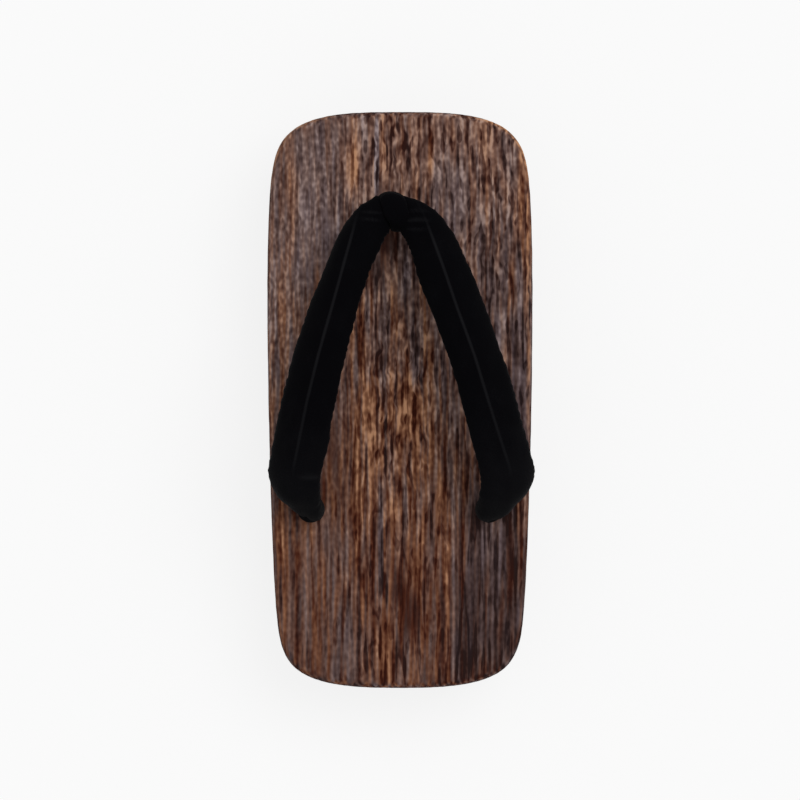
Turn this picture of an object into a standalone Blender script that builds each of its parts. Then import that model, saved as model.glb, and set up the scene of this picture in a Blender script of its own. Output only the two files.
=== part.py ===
"""A flat-topped wooden geta sandal: a board on two teeth, with a padded V strap and a toe loop.

The sandal stands on its two teeth on the plane Z = 0, with its toe towards +Y and the foot's
left side towards -X. It has no left or right: either foot can wear it.
"""

import math

import bmesh
import bpy
import numpy as np
from mathutils import Matrix, Vector

MM = 0.001
GAP = 0.3 * MM

# The board, seen from above: widest a little ahead of its middle, with superellipse ends.
LENGTH = 255 * MM
MAX_WIDTH = 117.6 * MM
WIDEST_Y = 51 * MM
ENDS = {
    # tip: where the end lies; taper: how fast the sides close in, per metre;
    # across and along: the exponents that round the corner off
    "toe": {"tip": LENGTH / 2, "taper": 0.625, "across": 3.08, "along": 8.4},
    "heel": {"tip": -LENGTH / 2, "taper": 0.177, "across": 2.7, "along": 21.9},
}
# A side of the outline's polygon is at most this long, or turns at most this far.
LONGEST_SIDE = 18 * MM
MOST_TURN = math.radians(5)
OUTLINE_SAMPLES = 1000

# The board, seen from the side.
TOP_Z = 46 * MM
BOARD_THICK = 18 * MM
UNDERSIDE_Z = TOP_Z - BOARD_THICK
TOP_ROUND = 3.5 * MM
BOTTOM_ROUND = 2.5 * MM
# Under the tips the board thins in a slow curve that starts ahead of, and behind, the teeth.
LIFTS = {
    "toe": {"from_y": 66 * MM, "tip_y": LENGTH / 2, "rise": 6 * MM},
    "heel": {"from_y": -92 * MM, "tip_y": -LENGTH / 2, "rise": 4.5 * MM},
}
LIFT_CURVE = 1.8
LIFT_CUTS = 7

# The two teeth, each glued into a shallow housing across the underside.
TEETH = {
    # middle: Y of the tooth's middle; root and foot: its thickness at the board and the floor
    "front_tooth": {"middle": 46 * MM, "root": 31 * MM, "foot": 27 * MM},
    "rear_tooth": {"middle": -72 * MM, "root": 30 * MM, "foot": 27 * MM},
}
TOOTH_INSET = 1.5 * MM
HOUSING_DEPTH = 2.5 * MM
TOOTH_ROUND = 1.8 * MM

# The three cord holes.
FRONT_HOLE = Vector((-2, 82.8, 0)) * MM
REAR_HOLE_OUT = 39.5 * MM
REAR_HOLE_Y = -48.2 * MM
HOLE_RADIUS = 6 * MM
HOLE_SIDES = 32

# The strap is one stuffed tube, from the left rear hole over the toe loop to the right one.
# A row is a section across each arm, in millimetres and degrees. Both arms share fore, the Y of
# its middle, up, its height over the board, thick, and turn, how far its outer edge points
# towards the toe. Each arm has its own out, from the sandal's middle line, wide, lean, how far
# the outer edge dips, and ridge, the crest's place as a share of the half width.
STRAP_SHARED = ("fore", "up", "thick", "turn")
STRAP_ARM = ("out", "wide", "lean", "ridge")
STRAP_ROWS = (
    # shared, left arm, right arm
    ((82.6, 16.4, 7.4, 90), (2.8, 17.2, 0, 0.00), (-2.8, 17.2, 0, 0.00)),
    ((81.0, 17.0, 9.4, 64), (9.6, 18.0, 6, 0.10), (3.8, 17.4, 4, 0.10)),
    ((77.0, 18.4, 11.0, 40), (14.0, 18.0, 16, 0.25), (9.2, 19.6, 10, 0.18)),
    ((69.0, 21.4, 11.8, 28), (18.8, 18.6, 24, 0.25), (14.2, 21.4, 14, 0.12)),
    ((55.5, 26.4, 12.0, 21), (24.8, 18.8, 26, 0.12), (19.4, 23.6, 16, 0.02)),
    ((38.0, 31.0, 12.0, 19), (30.3, 21.8, 24, -0.04), (26.7, 23.6, 18, -0.10)),
    ((20.0, 34.0, 12.0, 17), (35.7, 23.2, 22, -0.12), (33.0, 23.9, 20, -0.14)),
    ((2.0, 35.2, 12.2, 13), (40.0, 24.2, 22, -0.14), (38.6, 24.8, 22, -0.10)),
    ((-14.0, 34.4, 12.4, 14), (43.0, 25.2, 24, -0.10), (42.8, 25.4, 24, -0.06)),
    ((-27.0, 30.6, 12.8, 11), (45.7, 25.2, 28, -0.04), (46.2, 25.6, 28, 0.00)),
    ((-37.0, 24.0, 13.0, 16), (45.9, 25.2, 30, 0.00), (46.5, 24.4, 30, 0.06)),
    ((-44.0, 15.0, 12.8, 30), (43.4, 20.4, 22, 0.00), (43.8, 19.2, 22, 0.00)),
    ((-47.6, 6.2, 11.6, 36), (40.8, 13.8, 8, 0.00), (40.8, 13.4, 8, 0.00)),
    ((-48.3, 0.4, 9.4, 36), (39.7, 10.8, 0, 0.00), (39.7, 10.8, 0, 0.00)),
    ((-48.3, -9.0, 9.4, 36), (39.6, 10.0, 0, 0.00), (39.6, 10.0, 0, 0.00)),
)
STRAP_SIDES = 20
STRAP_STEP = 5 * MM
# The crest stands above the section's middle by this share of its thickness. Its two upper
# faces are powers of the way from the crest to the edge, and its base is a flat superellipse.
CREST_SHARE = 0.58
CREST_SHARPNESS = 1.25
FACE_FULLNESS = 0.52
BASE_FULLNESS = 2.6

# The toe loop: a fabric tube over the strap's middle, both its legs going down one hole.
# A row is a level section: up is over the board, side and fore are its half sizes.
LOOP_COLUMNS = ("up", "side", "fore")
LOOP_ROWS = (
    (-17.7, 4.4, 4.4),
    (-8.0, 5.0, 5.0),
    (0.0, 5.1, 5.3),
    (4.0, 4.9, 5.8),
    (8.0, 4.8, 7.6),
    (12.0, 4.8, 9.4),
    (16.0, 4.8, 10.0),
    (19.0, 4.7, 9.6),
    (21.4, 4.4, 8.2),
    (23.0, 3.9, 6.0),
    (23.8, 2.8, 3.6),
)
LOOP_TURN = math.radians(13)
LOOP_SQUARENESS = 2.6
LOOP_SIDES = 24

# The cords and knots under the board. A knot is a flattened ball with a leaning turn of cord
# round it, and the strap's two cords are tied together in one, on the sandal's middle line.
CORD_RADIUS = 2.1 * MM
KNOT_HALF = Vector((8.5, 6.5, 4.2)) * MM
KNOT_COIL = 2.3 * MM
KNOT_COIL_OUT = 0.55 * KNOT_HALF.x
KNOT_LEAN = math.radians(28)
REAR_KNOT_Y = REAR_HOLE_Y + 3.5 * MM
# The route of a strap cord, in millimetres: out from the middle line, or from the rear hole
# where it is negative, towards the toe from that hole, and down from the board's underside.
CORD_COLUMNS = ("out", "fore", "down")
CORD_ROWS = (
    (0.0, 0.0, -2.0),
    (-0.8, 0.0, 0.8),
    (-4.0, 0.5, 3.0),
    (21.7, 2.3, 3.8),
)
CORD_AT_KNOT = 4.2 * MM

CHARRED_WOOD = (0.100, 0.053, 0.040)
RAW_TOOTH_WOOD = (0.090, 0.050, 0.038)
BLACK_VELVET = (0.004, 0.004, 0.005)
BLACK_CORD = (0.010, 0.010, 0.011)


def clear_scene():
    for obj in list(bpy.data.objects):
        bpy.data.objects.remove(obj, do_unlink=True)


def material(name, colour, roughness):
    made = bpy.data.materials.new(name)
    made.use_nodes = True
    shader = made.node_tree.nodes["Principled BSDF"]
    shader.inputs["Base Color"].default_value = (*colour, 1)
    shader.inputs["Roughness"].default_value = roughness
    shader.inputs["Metallic"].default_value = 0
    return made


def new_object(name, bm, surface):
    mesh = bpy.data.meshes.new(name)
    bm.to_mesh(mesh)
    bm.free()
    mesh.materials.append(surface)
    mesh.shade_smooth()
    mesh.set_sharp_from_angle(angle=math.radians(40))
    obj = bpy.data.objects.new(name, mesh)
    bpy.context.scene.collection.objects.link(obj)
    return obj


def half_width(y):
    """Half the board's width at this Y, as far as its rounded ends."""
    end = ENDS["toe"] if y > WIDEST_Y else ENDS["heel"]
    along = (y - WIDEST_Y) / (end["tip"] - WIDEST_Y)
    side = MAX_WIDTH / 2 - end["taper"] * (y - WIDEST_Y) ** 2
    return side * max(0.0, 1 - along ** end["along"]) ** (1 / end["across"])


def quarter_outline(end):
    """The board's outline on its right side, from its widest place to this end's tip.

    Its fine points are even along the side and even across the tip. Of these, it keeps the
    ones that the longest side and the most turn ask for.
    """
    shares = np.linspace(0, 1, OUTLINE_SAMPLES)
    round_the_tip = (1 - shares ** end["across"]) ** (1 / end["along"])
    along = np.union1d(shares, round_the_tip)
    along = along[np.append(np.diff(along) > 1e-9, True)]
    across = np.maximum(0, 1 - along ** end["along"]) ** (1 / end["across"])
    y = WIDEST_Y + (end["tip"] - WIDEST_Y) * along
    side = MAX_WIDTH / 2 - end["taper"] * (y - WIDEST_Y) ** 2
    points = np.stack([side * across, y], axis=1)
    sides = np.diff(points, axis=0)
    headings = np.unwrap(np.arctan2(sides[:, 1], sides[:, 0]))
    turns = np.abs(np.diff(headings, prepend=headings[0]))
    used = np.linalg.norm(sides, axis=1) / LONGEST_SIDE + turns / MOST_TURN
    run = np.concatenate([[0], np.cumsum(used)])
    places = np.linspace(0, run[-1], math.ceil(run[-1]) + 1)
    return np.stack([np.interp(places, run, column) for column in points.T], axis=1)


def board_outline():
    toe, heel = quarter_outline(ENDS["toe"]), quarter_outline(ENDS["heel"])
    right = np.concatenate([heel[::-1], toe[1:]])
    left = right[::-1][1:-1] * (-1, 1)
    return np.concatenate([right, left])


def thickness(y):
    """The board's thickness at this Y: less under the toe's and the heel's tip."""
    for lift in LIFTS.values():
        along = (y - lift["from_y"]) / (lift["tip_y"] - lift["from_y"])
        if along > 0:
            return BOARD_THICK - lift["rise"] * min(along, 1) ** LIFT_CURVE
    return BOARD_THICK


def rim_edges(bm, z):
    return [e for e in bm.edges if all(abs(v.co.z - z) < 1e-6 for v in e.verts)]


def make_board(surface):
    bm = bmesh.new()
    rim = [bm.verts.new((x, y, UNDERSIDE_Z)) for x, y in board_outline()]
    bm.faces.new(rim)
    raised = bmesh.ops.extrude_face_region(bm, geom=bm.faces[:])["geom"]
    raised = [v for v in raised if isinstance(v, bmesh.types.BMVert)]
    bmesh.ops.translate(bm, verts=raised, vec=(0, 0, BOARD_THICK))
    bmesh.ops.recalc_face_normals(bm, faces=bm.faces)
    for z, width, segments in ((TOP_Z, TOP_ROUND, 4), (UNDERSIDE_Z, BOTTOM_ROUND, 3)):
        bmesh.ops.bevel(
            bm,
            geom=rim_edges(bm, z),
            offset=width,
            segments=segments,
            profile=0.5,
            affect="EDGES",
        )
    for lift in LIFTS.values():
        for y in np.linspace(lift["from_y"], lift["tip_y"], LIFT_CUTS + 2)[:-1]:
            whole = bm.verts[:] + bm.edges[:] + bm.faces[:]
            bmesh.ops.bisect_plane(
                bm, geom=whole, plane_co=(0, y, 0), plane_no=(0, 1, 0), dist=1e-6
            )
    for v in bm.verts:
        depth = TOP_Z - v.co.z - TOP_ROUND
        if depth > 0:
            share = (thickness(v.co.y) - TOP_ROUND) / (BOARD_THICK - TOP_ROUND)
            v.co.z = TOP_Z - TOP_ROUND - depth * share
    board = new_object("board", bm, surface)
    for number, cutter in enumerate(board_cutters()):
        cut = board.modifiers.new(f"cut_{number}", "BOOLEAN")
        cut.operation = "DIFFERENCE"
        cut.object = cutter
    return board


def hidden_cutter(name, bm):
    mesh = bpy.data.meshes.new(name)
    bm.to_mesh(mesh)
    bm.free()
    cutter = bpy.data.objects.new(name, mesh)
    cutter.hide_render = True
    cutter.display_type = "WIRE"
    bpy.context.scene.collection.objects.link(cutter)
    return cutter


def board_cutters():
    """What is cut from the board: the three cord holes and the two tooth housings."""
    holes = {
        "front_hole": FRONT_HOLE,
        "rear_hole_left": Vector((-REAR_HOLE_OUT, REAR_HOLE_Y, 0)),
        "rear_hole_right": Vector((REAR_HOLE_OUT, REAR_HOLE_Y, 0)),
    }
    for name, place in holes.items():
        bm = bmesh.new()
        bmesh.ops.create_cone(
            bm,
            cap_ends=True,
            segments=HOLE_SIDES,
            radius1=HOLE_RADIUS,
            radius2=HOLE_RADIUS,
            depth=2 * BOARD_THICK,
            matrix=Matrix.Translation(place + Vector((0, 0, TOP_Z - BOARD_THICK / 2))),
        )
        yield hidden_cutter(name, bm)
    for name, tooth in TEETH.items():
        bm = bmesh.new()
        size = (MAX_WIDTH + 10 * MM, tooth["root"] + 2 * GAP, 2 * HOUSING_DEPTH)
        place = Matrix.Translation((0, tooth["middle"], UNDERSIDE_Z))
        bmesh.ops.create_cube(bm, size=1, matrix=place @ Matrix.Diagonal((*size, 1)))
        yield hidden_cutter(name + "_housing", bm)


def make_tooth(name, tooth, surface):
    """A crosspiece, thicker at its root, whose ends follow the board's sides."""
    root_z = UNDERSIDE_Z + HOUSING_DEPTH - GAP
    bm = bmesh.new()
    bmesh.ops.create_cube(bm, size=2)
    for v in bm.verts:
        side, fore, high = v.co
        thick = tooth["root"] if high > 0 else tooth["foot"]
        y = tooth["middle"] + fore * thick / 2
        out = half_width(tooth["middle"] + fore * tooth["root"] / 2) - TOOTH_INSET
        v.co = (side * out, y, root_z if high > 0 else 0)
    rounded = [e for e in bm.edges if min(v.co.z for v in e.verts) < root_z / 2]
    bmesh.ops.bevel(
        bm,
        geom=rounded,
        offset=TOOTH_ROUND,
        segments=3,
        profile=0.5,
        affect="EDGES",
    )
    return new_object(name, bm, surface)


def strap_rows():
    """The table's rows from the left rear hole, over the toe loop, to the right one.

    Each is X, Y, Z, the width, the thickness, the direction in the plan of the outer edge,
    how far that edge dips, and the place of the crest.
    """
    arms = {-1: [], 1: []}
    for shared, left, right in STRAP_ROWS:
        both = dict(zip(STRAP_SHARED, shared))
        for side, own in ((-1, left), (1, right)):
            arm = dict(zip(STRAP_ARM, own))
            arms[side].append(
                (
                    side * arm["out"] * MM,
                    both["fore"] * MM,
                    TOP_Z + both["up"] * MM,
                    arm["wide"] * MM,
                    both["thick"] * MM,
                    math.radians(both["turn"] if side > 0 else 180 - both["turn"]),
                    math.radians(arm["lean"]),
                    arm["ridge"],
                )
            )
    return np.array(arms[-1][::-1] + arms[1][1:])


def through(rows, step):
    """A smooth line through the rows, at about even steps: a cubic between each two rows."""
    lengths = np.linalg.norm(np.diff(rows[:, :3], axis=0), axis=1)
    run = np.concatenate([[0], np.cumsum(lengths)])
    slopes = np.gradient(rows, run, axis=0)
    made = []
    for i, length in enumerate(lengths):
        count = max(1, round(length / step))
        for t in np.arange(count) / count:
            start, end = rows[i], rows[i + 1]
            leave, arrive = slopes[i] * length, slopes[i + 1] * length
            made.append(
                (2 * t**3 - 3 * t**2 + 1) * start
                + (t**3 - 2 * t**2 + t) * leave
                + (3 * t**2 - 2 * t**3) * end
                + (t**3 - t**2) * arrive
            )
    return np.array([*made, rows[-1]])


def strap_section(wide, thick, ridge, sides):
    """Points of one section, as (across, up) from its middle: a crested top on a flatter base."""
    points = []
    for turn in np.arange(sides) * math.tau / sides:
        across = math.cos(turn)
        if math.sin(turn) >= 0:
            reach = (1 - ridge) if across > ridge else (1 + ridge)
            away = abs(across - ridge) / reach
            up = CREST_SHARE * max(0.0, 1 - away**CREST_SHARPNESS) ** FACE_FULLNESS
        else:
            flat = max(0.0, 1 - abs(across) ** BASE_FULLNESS)
            up = -(1 - CREST_SHARE) * flat ** (1 / BASE_FULLNESS)
        points.append((across * wide / 2, up * thick))
    return points


def loft(bm, rings):
    """Joins rings of points, all of one count, into a closed skin with flat ends."""
    loops = [[bm.verts.new(point) for point in ring] for ring in rings]
    for near, far in zip(loops, loops[1:]):
        for i in range(len(near)):
            j = (i + 1) % len(near)
            bm.faces.new((near[i], near[j], far[j], far[i]))
    bm.faces.new(loops[0][::-1])
    bm.faces.new(loops[-1])
    bmesh.ops.recalc_face_normals(bm, faces=bm.faces)


def strap_rings(grow, step=STRAP_STEP, sides=STRAP_SIDES):
    stations = through(strap_rows(), step)
    tangents = np.gradient(stations[:, :3], axis=0)
    rings = []
    for station, tangent in zip(stations, tangents):
        middle = Vector(station[:3])
        wide, thick, azimuth, dip, ridge = station[3:]
        forward = Vector(tangent).normalized()
        outward = Vector(
            (
                math.cos(dip) * math.cos(azimuth),
                math.cos(dip) * math.sin(azimuth),
                -math.sin(dip),
            )
        )
        outward = (outward - forward * outward.dot(forward)).normalized()
        upward = forward.cross(outward)
        section = strap_section(wide + 2 * grow, thick + 2 * grow, ridge, sides)
        rings.append([middle + outward * a + upward * u for a, u in section])
    return rings


def make_strap(surface):
    bm = bmesh.new()
    loft(bm, strap_rings(0))
    return new_object("strap", bm, surface)


def make_toe_loop(surface):
    """The loop's outer form, less the strap that passes through it."""
    rings = []
    for values in LOOP_ROWS:
        row = dict(zip(LOOP_COLUMNS, values))
        ring = []
        for turn in np.arange(LOOP_SIDES) * math.tau / LOOP_SIDES:
            c, s = math.cos(turn), math.sin(turn)
            power = 2 / (LOOP_SQUARENESS if row["up"] > 0 else 2)
            side = math.copysign(abs(c) ** power, c) * row["side"] * MM
            fore = math.copysign(abs(s) ** power, s) * row["fore"] * MM
            spot = Matrix.Rotation(LOOP_TURN, 3, "Z") @ Vector((side, fore, 0))
            ring.append(FRONT_HOLE + spot + Vector((0, 0, TOP_Z + row["up"] * MM)))
        rings.append(ring)
    bm = bmesh.new()
    loft(bm, rings)
    loop = new_object("toe_loop", bm, surface)
    around_strap = bmesh.new()
    loft(around_strap, strap_rings(GAP))
    cut = loop.modifiers.new("strap_passage", "BOOLEAN")
    cut.operation = "DIFFERENCE"
    cut.object = hidden_cutter("strap_passage", around_strap)
    return loop


def make_knot(name, place, surface):
    """A pulled-tight knot: a flattened ball with a turn of cord round it."""
    bm = bmesh.new()
    bmesh.ops.create_uvsphere(bm, u_segments=20, v_segments=12, radius=1)
    bmesh.ops.scale(bm, vec=KNOT_HALF, verts=bm.verts)
    bmesh.ops.translate(bm, vec=place, verts=bm.verts)
    knot = new_object(name, bm, surface)
    turn_of_cord = bmesh.new()
    ring = bmesh.ops.create_circle(turn_of_cord, segments=10, radius=KNOT_COIL)["verts"]
    upright = Matrix.Rotation(math.radians(90), 3, "X")
    bmesh.ops.rotate(turn_of_cord, matrix=upright, verts=ring)
    bmesh.ops.translate(turn_of_cord, vec=(KNOT_COIL_OUT, 0, 0), verts=ring)
    bmesh.ops.spin(
        turn_of_cord,
        geom=turn_of_cord.edges[:],
        axis=(0, 0, 1),
        cent=(0, 0, 0),
        steps=20,
        angle=math.tau,
        use_merge=True,
    )
    bmesh.ops.recalc_face_normals(turn_of_cord, faces=turn_of_cord.faces)
    lean = Matrix.Translation(place) @ Matrix.Rotation(KNOT_LEAN, 4, "Y")
    bmesh.ops.transform(turn_of_cord, matrix=lean, verts=turn_of_cord.verts)
    join = knot.modifiers.new("turn_of_cord", "BOOLEAN")
    join.operation = "UNION"
    join.object = hidden_cutter(name + "_turn", turn_of_cord)
    return knot


def make_strap_cord(name, side, surface):
    """The strap's core cord: out of its end in the hole, and along the underside to the knot."""
    strap_end = strap_rows()[0][2]
    route = [(side * REAR_HOLE_OUT, REAR_HOLE_Y, strap_end - GAP)]
    for values in CORD_ROWS:
        row = dict(zip(CORD_COLUMNS, values))
        from_middle = row["out"] * MM + (REAR_HOLE_OUT if row["out"] <= 0 else 0)
        route.append(
            (
                side * from_middle,
                REAR_HOLE_Y + row["fore"] * MM,
                UNDERSIDE_Z - row["down"] * MM,
            )
        )
    route.append((side * (KNOT_HALF.x + GAP), REAR_KNOT_Y, UNDERSIDE_Z - CORD_AT_KNOT))
    route = np.array(route)
    points = through(route, 2.5 * CORD_RADIUS)
    curve = bpy.data.curves.new(name, "CURVE")
    curve.dimensions = "3D"
    curve.bevel_depth = CORD_RADIUS
    curve.bevel_resolution = 2
    curve.use_fill_caps = True
    curve.materials.append(surface)
    spline = curve.splines.new("POLY")
    spline.points.add(len(points) - 1)
    for place, point in zip(spline.points, points):
        place.co = (*point, 1)
    cord = bpy.data.objects.new(name, curve)
    bpy.context.scene.collection.objects.link(cord)
    return cord


def main():
    clear_scene()
    charred = material("charred_wood", CHARRED_WOOD, 0.7)
    tooth_wood = material("tooth_wood", RAW_TOOTH_WOOD, 0.75)
    velvet = material("black_velvet", BLACK_VELVET, 0.95)
    cord = material("black_cord", BLACK_CORD, 0.9)
    make_board(charred)
    for name, tooth in TEETH.items():
        make_tooth(name, tooth, tooth_wood)
    make_strap(velvet)
    make_toe_loop(velvet)
    knot_z = UNDERSIDE_Z - GAP - KNOT_HALF.z
    make_knot("toe_knot", Vector((FRONT_HOLE.x, FRONT_HOLE.y, knot_z)), cord)
    make_knot("rear_knot", Vector((0, REAR_KNOT_Y, knot_z)), cord)
    make_strap_cord("strap_cord_left", -1, cord)
    make_strap_cord("strap_cord_right", 1, cord)


main()
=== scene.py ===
"""A burnt and brushed wooden geta with a black velvet strap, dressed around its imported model."""

import math

import bmesh
import bpy
import numpy as np
from mathutils import Matrix, Vector, noise


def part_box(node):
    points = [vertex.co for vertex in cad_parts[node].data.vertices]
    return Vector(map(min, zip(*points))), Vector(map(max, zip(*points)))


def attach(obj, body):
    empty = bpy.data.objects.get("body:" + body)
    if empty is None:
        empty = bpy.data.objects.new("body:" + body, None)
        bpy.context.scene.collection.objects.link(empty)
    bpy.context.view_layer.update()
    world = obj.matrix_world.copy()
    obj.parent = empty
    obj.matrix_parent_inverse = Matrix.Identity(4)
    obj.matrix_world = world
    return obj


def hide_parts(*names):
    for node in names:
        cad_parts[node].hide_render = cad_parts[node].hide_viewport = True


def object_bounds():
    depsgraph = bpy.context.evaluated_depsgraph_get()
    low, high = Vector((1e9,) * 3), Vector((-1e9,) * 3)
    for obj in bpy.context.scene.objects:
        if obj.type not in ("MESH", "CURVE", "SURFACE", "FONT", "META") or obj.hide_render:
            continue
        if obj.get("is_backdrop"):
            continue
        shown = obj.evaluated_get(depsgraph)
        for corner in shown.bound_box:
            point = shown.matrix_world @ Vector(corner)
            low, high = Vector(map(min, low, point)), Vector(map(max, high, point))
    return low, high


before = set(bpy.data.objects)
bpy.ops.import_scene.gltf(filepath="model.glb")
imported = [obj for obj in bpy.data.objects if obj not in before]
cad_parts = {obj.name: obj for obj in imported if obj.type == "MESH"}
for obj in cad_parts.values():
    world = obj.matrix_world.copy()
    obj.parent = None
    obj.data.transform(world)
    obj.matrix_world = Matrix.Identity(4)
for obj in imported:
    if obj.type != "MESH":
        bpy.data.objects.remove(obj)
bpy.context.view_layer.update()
MM = 0.001

# The footboard. The real one is a single plank of paulownia, sawn to a rounded outline, charred
# with a torch and brushed along the grain, so that the soft wood is scoured out and the hard
# lines stand up. Its rim is rubbed back to bare wood, most of all at the toe. Along the right side
# it is painted paler, partly wear and partly a painted highlight where the rim faces the light,
# and its sides are painted darker, partly thicker char and partly painted shade.
board_low, board_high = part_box("board")
TOP = board_high.z
THICK = 18 * MM
TOP_ROUND = 3.5 * MM
UNDER_ROUND = 2.5 * MM
LIFTS = {
    "toe": {"from_y": 66 * MM, "tip_y": board_high.y, "rise": 6 * MM},
    "heel": {"from_y": -92 * MM, "tip_y": board_low.y, "rise": 4.5 * MM},
}
LIFT_CURVE = 1.8
LIFT_STEP = 3 * MM
GRAIN_COLUMN = 0.38 * MM
GRAIN_ROW = 1.6 * MM
ROUND_STEPS = 6
SIDE_ROWS = 15
UNDER_STEPS = 4
RIM_ON_TOP = 2 * MM
RELIEF = 0.5 * MM
RIM_RELIEF = 0.5
SIDE_RELIEF = 0.6
TIP_RELIEF = 0.2
# How far apart points still count as one, or as lying on a cut or on the rim.
SAME_POINT = 0.002 * MM
SAME_RIM_POINT = 0.08 * MM
ON_CUT = 0.001 * MM
ON_RIM = 0.01 * MM


def merged_copy(name):
    """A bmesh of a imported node, its loose triangles joined again."""
    bm = bmesh.new()
    bm.from_mesh(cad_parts[name].data)
    bmesh.ops.remove_doubles(bm, verts=bm.verts, dist=SAME_POINT)
    return bm


def each_once(items):
    """A list of the items without repeats, in the order in which they come."""
    return list(dict.fromkeys(items))


def placed(name, data):
    """An object with this data, in the scene."""
    obj = bpy.data.objects.new(name, data)
    bpy.context.scene.collection.objects.link(obj)
    return obj


def shaped(name, bm):
    """The bmesh as an object in the scene."""
    mesh = bpy.data.meshes.new(name)
    bm.to_mesh(mesh)
    bm.free()
    return placed(name, mesh)


def new_piece(name, bm, slot, *stands_for):
    """The bmesh as a smooth object that rides on the sandal and stands for these nodes."""
    obj = shaped(name, bm)
    obj.data.shade_smooth()
    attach(obj, "root")
    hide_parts(*stands_for)
    return obj


def cut_across(bm, parts, at, across, **more):
    """Cuts these parts with a plane, and gives them with the new ones."""
    plane = {"plane_co": at, "plane_no": across, "dist": ON_CUT}
    return bmesh.ops.bisect_plane(bm, geom=parts, **plane, **more)["geom"]


def drawn_out(bm, edges):
    """Extrudes an open border, and gives the new one's edges and vertices."""
    made = bmesh.ops.extrude_edge_only(bm, edges=edges)["geom"]
    edges = [e for e in made if isinstance(e, bmesh.types.BMEdge) and e.is_boundary]
    return edges, each_once(v for e in edges for v in e.verts)


def finish_mesh(obj):
    """Applies the object's modifiers."""
    bpy.context.view_layer.update()
    evaluated = obj.evaluated_get(bpy.context.evaluated_depsgraph_get())
    made = bpy.data.meshes.new_from_object(evaluated)
    obj.modifiers.clear()
    obj.data = made


def fill_inputs(tree, node, inputs):
    """Gives each input of the node a value, or the output of another node."""
    for key, value in inputs.items():
        if isinstance(value, bpy.types.NodeSocket):
            tree.links.new(value, node.inputs[key])
        else:
            node.inputs[key].default_value = value


def put(tree, kind, inputs=None, **settings):
    """Adds a node with these inputs and settings."""
    made = tree.nodes.new(kind)
    for name, value in settings.items():
        setattr(made, name, value)
    fill_inputs(tree, made, inputs or {})
    return made


def add_sockets(tree, in_out, kind, *names):
    for name in names:
        tree.interface.new_socket(name, in_out=in_out, socket_type="NodeSocket" + kind)


def maths(tree, operation, *values):
    return put(tree, "ShaderNodeMath", dict(enumerate(values)), operation=operation).outputs[0]


def scaled(tree, value, by, plus=0.0):
    return maths(tree, "MULTIPLY_ADD", value, by, plus)


def ramp(tree, value, low, high, to_low=0.0, to_high=1.0):
    """Carries value from low..high to other limits along a soft curve."""
    limits = {"Value": value, "From Min": low, "From Max": high, "To Min": to_low, "To Max": to_high}
    return put(tree, "ShaderNodeMapRange", limits, interpolation_type="SMOOTHSTEP").outputs[0]


def mixed(tree, share, near, far):
    """A number between near and far."""
    return put(tree, "ShaderNodeMix", {"Factor": share, "A": near, "B": far}).outputs[0]


def vector_maths(tree, operation, *values, output="Vector"):
    inputs = dict(enumerate(values))
    return put(tree, "ShaderNodeVectorMath", inputs, operation=operation).outputs[output]


def streaks(tree, place, size, detail=1.0, shift=0.0):
    """Noise around 0 whose spots are this long, in millimetres, along X, Y and Z."""
    density = [1 / (length * MM) for length in size]
    spots = vector_maths(tree, "MULTIPLY_ADD", place, density, (shift, shift, shift))
    values = {"Vector": spots, "Scale": 1.0, "Detail": detail, "Roughness": 0.55}
    return maths(tree, "SUBTRACT", put(tree, "ShaderNodeTexNoise", values).outputs[0], 0.5)


def split(tree, place):
    """The place's X, Y and Z."""
    return put(tree, "ShaderNodeSeparateXYZ", {0: place}).outputs


def soft_patch(tree, place, x, y, reach_x, reach_y):
    """1 in the middle of an ellipse seen from above, and 0 outside its reach."""
    off = vector_maths(tree, "SUBTRACT", place, (x * MM, y * MM, 0))
    off = vector_maths(tree, "MULTIPLY", off, (1 / (reach_x * MM), 1 / (reach_y * MM), 0))
    away = vector_maths(tree, "LENGTH", off, output="Value")
    return ramp(tree, away, 0.3, 1.0, 1.0, 0.0)


def shifted(tree, place, along_x):
    """The place, moved sideways by this much."""
    move = put(tree, "ShaderNodeCombineXYZ", {"X": along_x}).outputs[0]
    return vector_maths(tree, "ADD", place, move)


# The year's rings cross the plank aslant, and show as fine lines this far apart.
RING_SLOPE = (1.0, 0.0, 0.6)
RING_STEP = 2.8 * MM


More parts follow.
